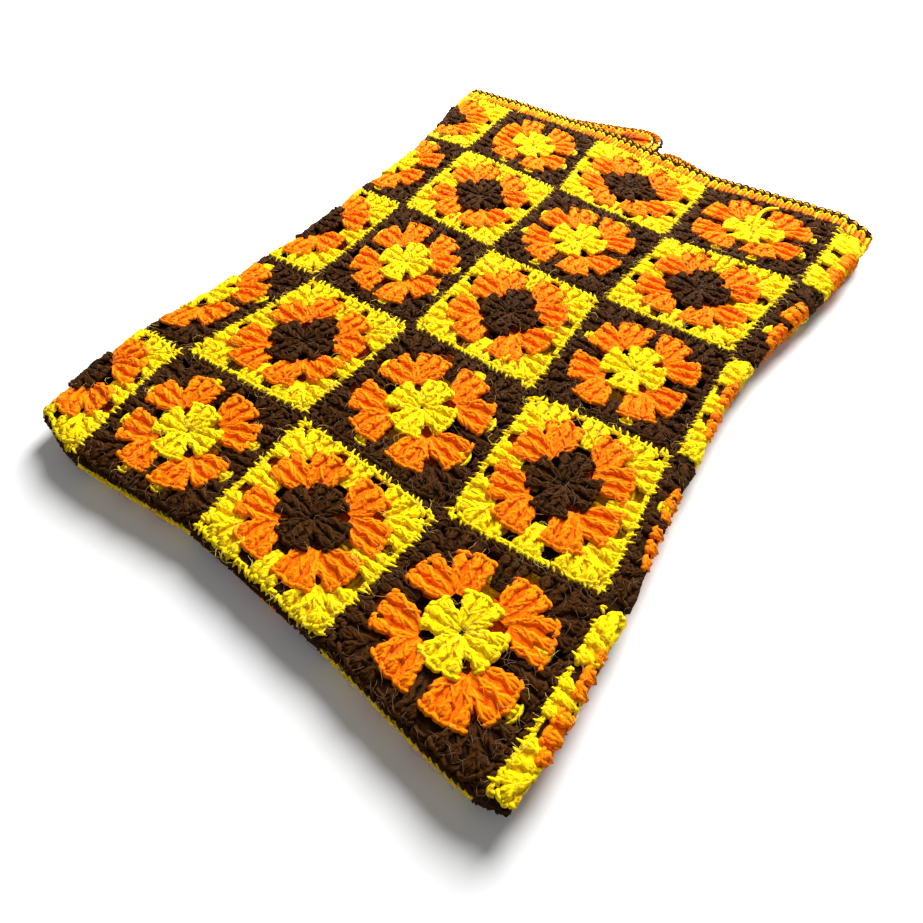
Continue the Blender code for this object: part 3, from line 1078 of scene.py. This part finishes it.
def border_corner(baskets, corner, first, second):
    """The border's stitches fanned round a corner of the cloth."""
    for step in range(CORNER_STITCHES):
        angle = 0.5 * math.pi * (step + 0.5) / CORNER_STITCHES
        ray = first * math.cos(angle) + second * math.sin(angle)
        cross = np.array([-ray[1], ray[0]])

        def at(over, reach, height, ray=ray, cross=cross):
            reach = min(reach, CORNER_REACH)
            least = CORNER_NARROW["least"]
            spread = least + (1.0 - least) * max(reach, 0.0) / CORNER_NARROW["over"]
            flat = corner + cross * over * spread * MM + ray * reach * MM
            return (flat[0], flat[1], height * MM)

        border_stitch(baskets, at, True)


def border(baskets, plates):
    """Four rounds of border along each side of the cloth, and round the corners."""
    half_u = 0.5 * COLUMNS * SQUARE
    half_v = 0.5 * ROWS * SQUARE
    for row in BORDER_SIDES:
        start = np.array(row["from"]) * (half_u, half_v)
        along = np.array(row["along"], dtype=float)
        out = np.array([along[1], -along[0]])
        length = 2.0 * abs(along @ (half_u, half_v))
        number = int(length / (BORDER_PITCH * MM))
        for step in range(number):
            spot = start + along * length * (step + 0.5) / number
            stray = random.normal(0.0, BORDER_STRAY)

            def at(over, reach, height, spot=spot, stray=stray, along=along, out=out):
                flat = spot + along * (over + stray) * MM + out * reach * MM
                return (flat[0], flat[1], height * MM)

            border_stitch(baskets, at, row["fine"])
        strip = []
        for share in np.linspace(0.0, 1.0, int(length / (BORDER_PLATE_SPACING * MM)) + 1):
            spot = start + along * length * share
            strip.append([(*(spot + out * reach * MM), 0.0) for reach in BORDER_PLATE_OUT])
        strip = np.array(strip)
        plates.grid(strip[:, :2], "orange")
        plates.grid(strip[:, 1:], "gold")
        border_corner(baskets, start, -along, out)


def add_fibres(baskets):
    """Stray fibres that stand off the yarn of the top layer."""
    for colour, number in FIBRES.items():
        lines = [line for strands in baskets["top"][colour].groups.values() for line, _ in strands]
        for _ in range(number):
            line = lines[random.integers(len(lines))]
            root = line[random.integers(len(line))]
            heading = random.uniform(0.0, 2.0 * math.pi)
            length = random.uniform(*FIBRE_LENGTH) * MM
            curl = random.normal(0.0, FIBRE_CURL, 2)
            low = max(root[2], FIBRE_ROOT * MM)
            steps = []
            for share in (0.0, 0.33, 0.67, 1.0):
                turn = heading + curl[0] * share + curl[1] * share**2
                flat = root[:2] + length * share * np.array([math.cos(turn), math.sin(turn)])
                arch = FIBRE_RISE["arch"] * math.sin(math.pi * share ** FIBRE_RISE["skew"])
                steps.append((*flat, low + MM * (FIBRE_RISE["start"] + arch)))
            thin = np.array([1.0, 1.0, 0.5]) * FIBRE_RADIUS * MM
            baskets["fibre"][colour].path(np.array(steps), thin, 3)


def loose_end(baskets):
    """A yarn end that was never woven in: it arches up from the last whole square, towards the hem."""
    places = np.array([(row["x"], row["y"]) for row in LOOSE_END])
    heights = np.array([row["height"] for row in LOOSE_END]) * MM
    line = np.column_stack([places - (SIDE_SHIFT, FRONT_STRAIGHT_Y - FRONT_LEAD), heights])
    # fold() adds the drift, which the places already have in them
    line[:, :2] += places - OUTLINE_MIDDLE - fold(line)[:, :2]
    stages = np.linspace(0, len(line) - 1, LOOSE_END_POINTS)
    smooth = np.column_stack([hermite(stages, np.arange(len(line)), line[:, axis]) for axis in range(3)])
    baskets["top"]["yellow"].path(smooth, radii(1.45, 1.40, 1.10), 6)


def build_plates(plates):
    """The cloth's own surface as one mesh."""
    mesh = bpy.data.meshes.new("crochet_cloth")
    flat = np.array(plates.points)
    mesh.from_pydata(fold(flat).tolist(), [], plates.faces)
    for colour in PLATE_COLOURS:
        mesh.materials.append(MATERIALS[colour])
    slots = [PLATE_COLOURS.index(colour) for colour in plates.colours]
    mesh.polygons.foreach_set("material_index", slots)
    corners = np.empty(len(mesh.loops), dtype=np.int32)
    mesh.loops.foreach_get("vertex_index", corners)
    uv = flat[corners][:, :2] * (1.0, PLATE_TWIST)
    # Painted shade: the plates get one fixed share of it all over
    depth = np.full(len(flat), PLATE_PAINTED_SHADE)
    tint = np.full(len(flat), PLATE_TINT)
    return add_piece("crochet_cloth", mesh, uv, depth, tint)


# ---------------- studio
CAMERA_PLACE = (0.1665, -0.2889, 0.2970)
CAMERA_LOOK = (-0.326, 0.442, -0.836)
CAMERA_RIGHT = (0.8135, 0.5814, -0.0099)
CAMERA_LENS = 22.04
CAMERA_SENSOR = 36.0
CAMERA_CLIP = 0.01
FLOOR_REACH = 4.0
FLOOR_LEVEL = -0.0005
FLOOR_GREY = 0.90
FLOOR_ROUGHNESS = 0.9
SKY_STRENGTH = 0.24
KEY_LIGHT = {"place": (-0.15, 1.06, 0.82), "size": 0.92, "power": 65.0}


def add_camera():
    """The photo's point of view."""
    camera = bpy.data.cameras.new("camera")
    camera.sensor_width = CAMERA_SENSOR
    camera.lens = CAMERA_LENS
    camera.clip_start = CAMERA_CLIP
    holder = add_object("camera", camera)
    look = Vector(CAMERA_LOOK).normalized()
    right = Vector(CAMERA_RIGHT)
    right = (right - look * right.dot(look)).normalized()
    up = right.cross(look)
    turn = Matrix((right, up, -look)).transposed().to_4x4()
    holder.matrix_world = Matrix.Translation(CAMERA_PLACE) @ turn
    bpy.context.scene.camera = holder


def add_light(name, place, size, power):
    light = bpy.data.lights.new(name, "AREA")
    light.shape = "DISK"
    light.size = size
    light.energy = power
    holder = add_object(name, light)
    holder.location = place
    holder.rotation_euler = (-Vector(place)).to_track_quat("-Z", "Y").to_euler()


def add_floor():
    material, shader = new_material("pale_floor", FLOOR_ROUGHNESS)
    shader.inputs["Base Color"].default_value = (FLOOR_GREY, FLOOR_GREY, FLOOR_GREY, 1.0)
    mesh = bpy.data.meshes.new("floor")
    corners = [(x * FLOOR_REACH, y * FLOOR_REACH, 0) for x, y in ((-1, -1), (1, -1), (1, 1), (-1, 1))]
    mesh.from_pydata(corners, [], [(0, 1, 2, 3)])
    mesh.materials.append(material)
    floor = add_object("floor", mesh)
    floor.location.z = FLOOR_LEVEL


def add_studio():
    """Pale floor, white surroundings and one soft light from behind."""
    add_floor()
    world = bpy.data.worlds.new("studio")
    world.use_nodes = True
    background = world.node_tree.nodes["Background"]
    background.inputs["Color"].default_value = (1.0, 1.0, 1.0, 1.0)
    background.inputs["Strength"].default_value = SKY_STRENGTH
    bpy.context.scene.world = world
    add_light("key", KEY_LIGHT["place"], KEY_LIGHT["size"], KEY_LIGHT["power"])
    bpy.context.scene.view_settings.view_transform = "Standard"


# ---------------- the blanket
def main():
    """Crochet the blanket, build its pieces and tie them to the CAD body."""
    add_camera()
    add_studio()
    layers = ("top", "bottom", "inside", "border", "fibre")
    baskets = {layer: {colour: Basket() for colour in YARN_COLOURS} for layer in layers}
    plates = Plates()
    for column in range(COLUMNS):
        for row in range(ROWS):
            granny_square(baskets, plates, column, row)
    border(baskets, plates)
    add_fibres(baskets)
    loose_end(baskets)
    for layer, colours in baskets.items():
        for colour, basket in colours.items():
            if not basket.groups:
                continue
            material = FIBRE_MATERIALS[colour] if layer == "fibre" else MATERIALS[colour]
            piece = build_yarn(f"{layer}_yarn_{colour}", basket, material)
            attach(piece, "root")
    cloth = build_plates(plates)
    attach(cloth, "root")
    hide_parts("joined_squares", "crochet_border")


main()
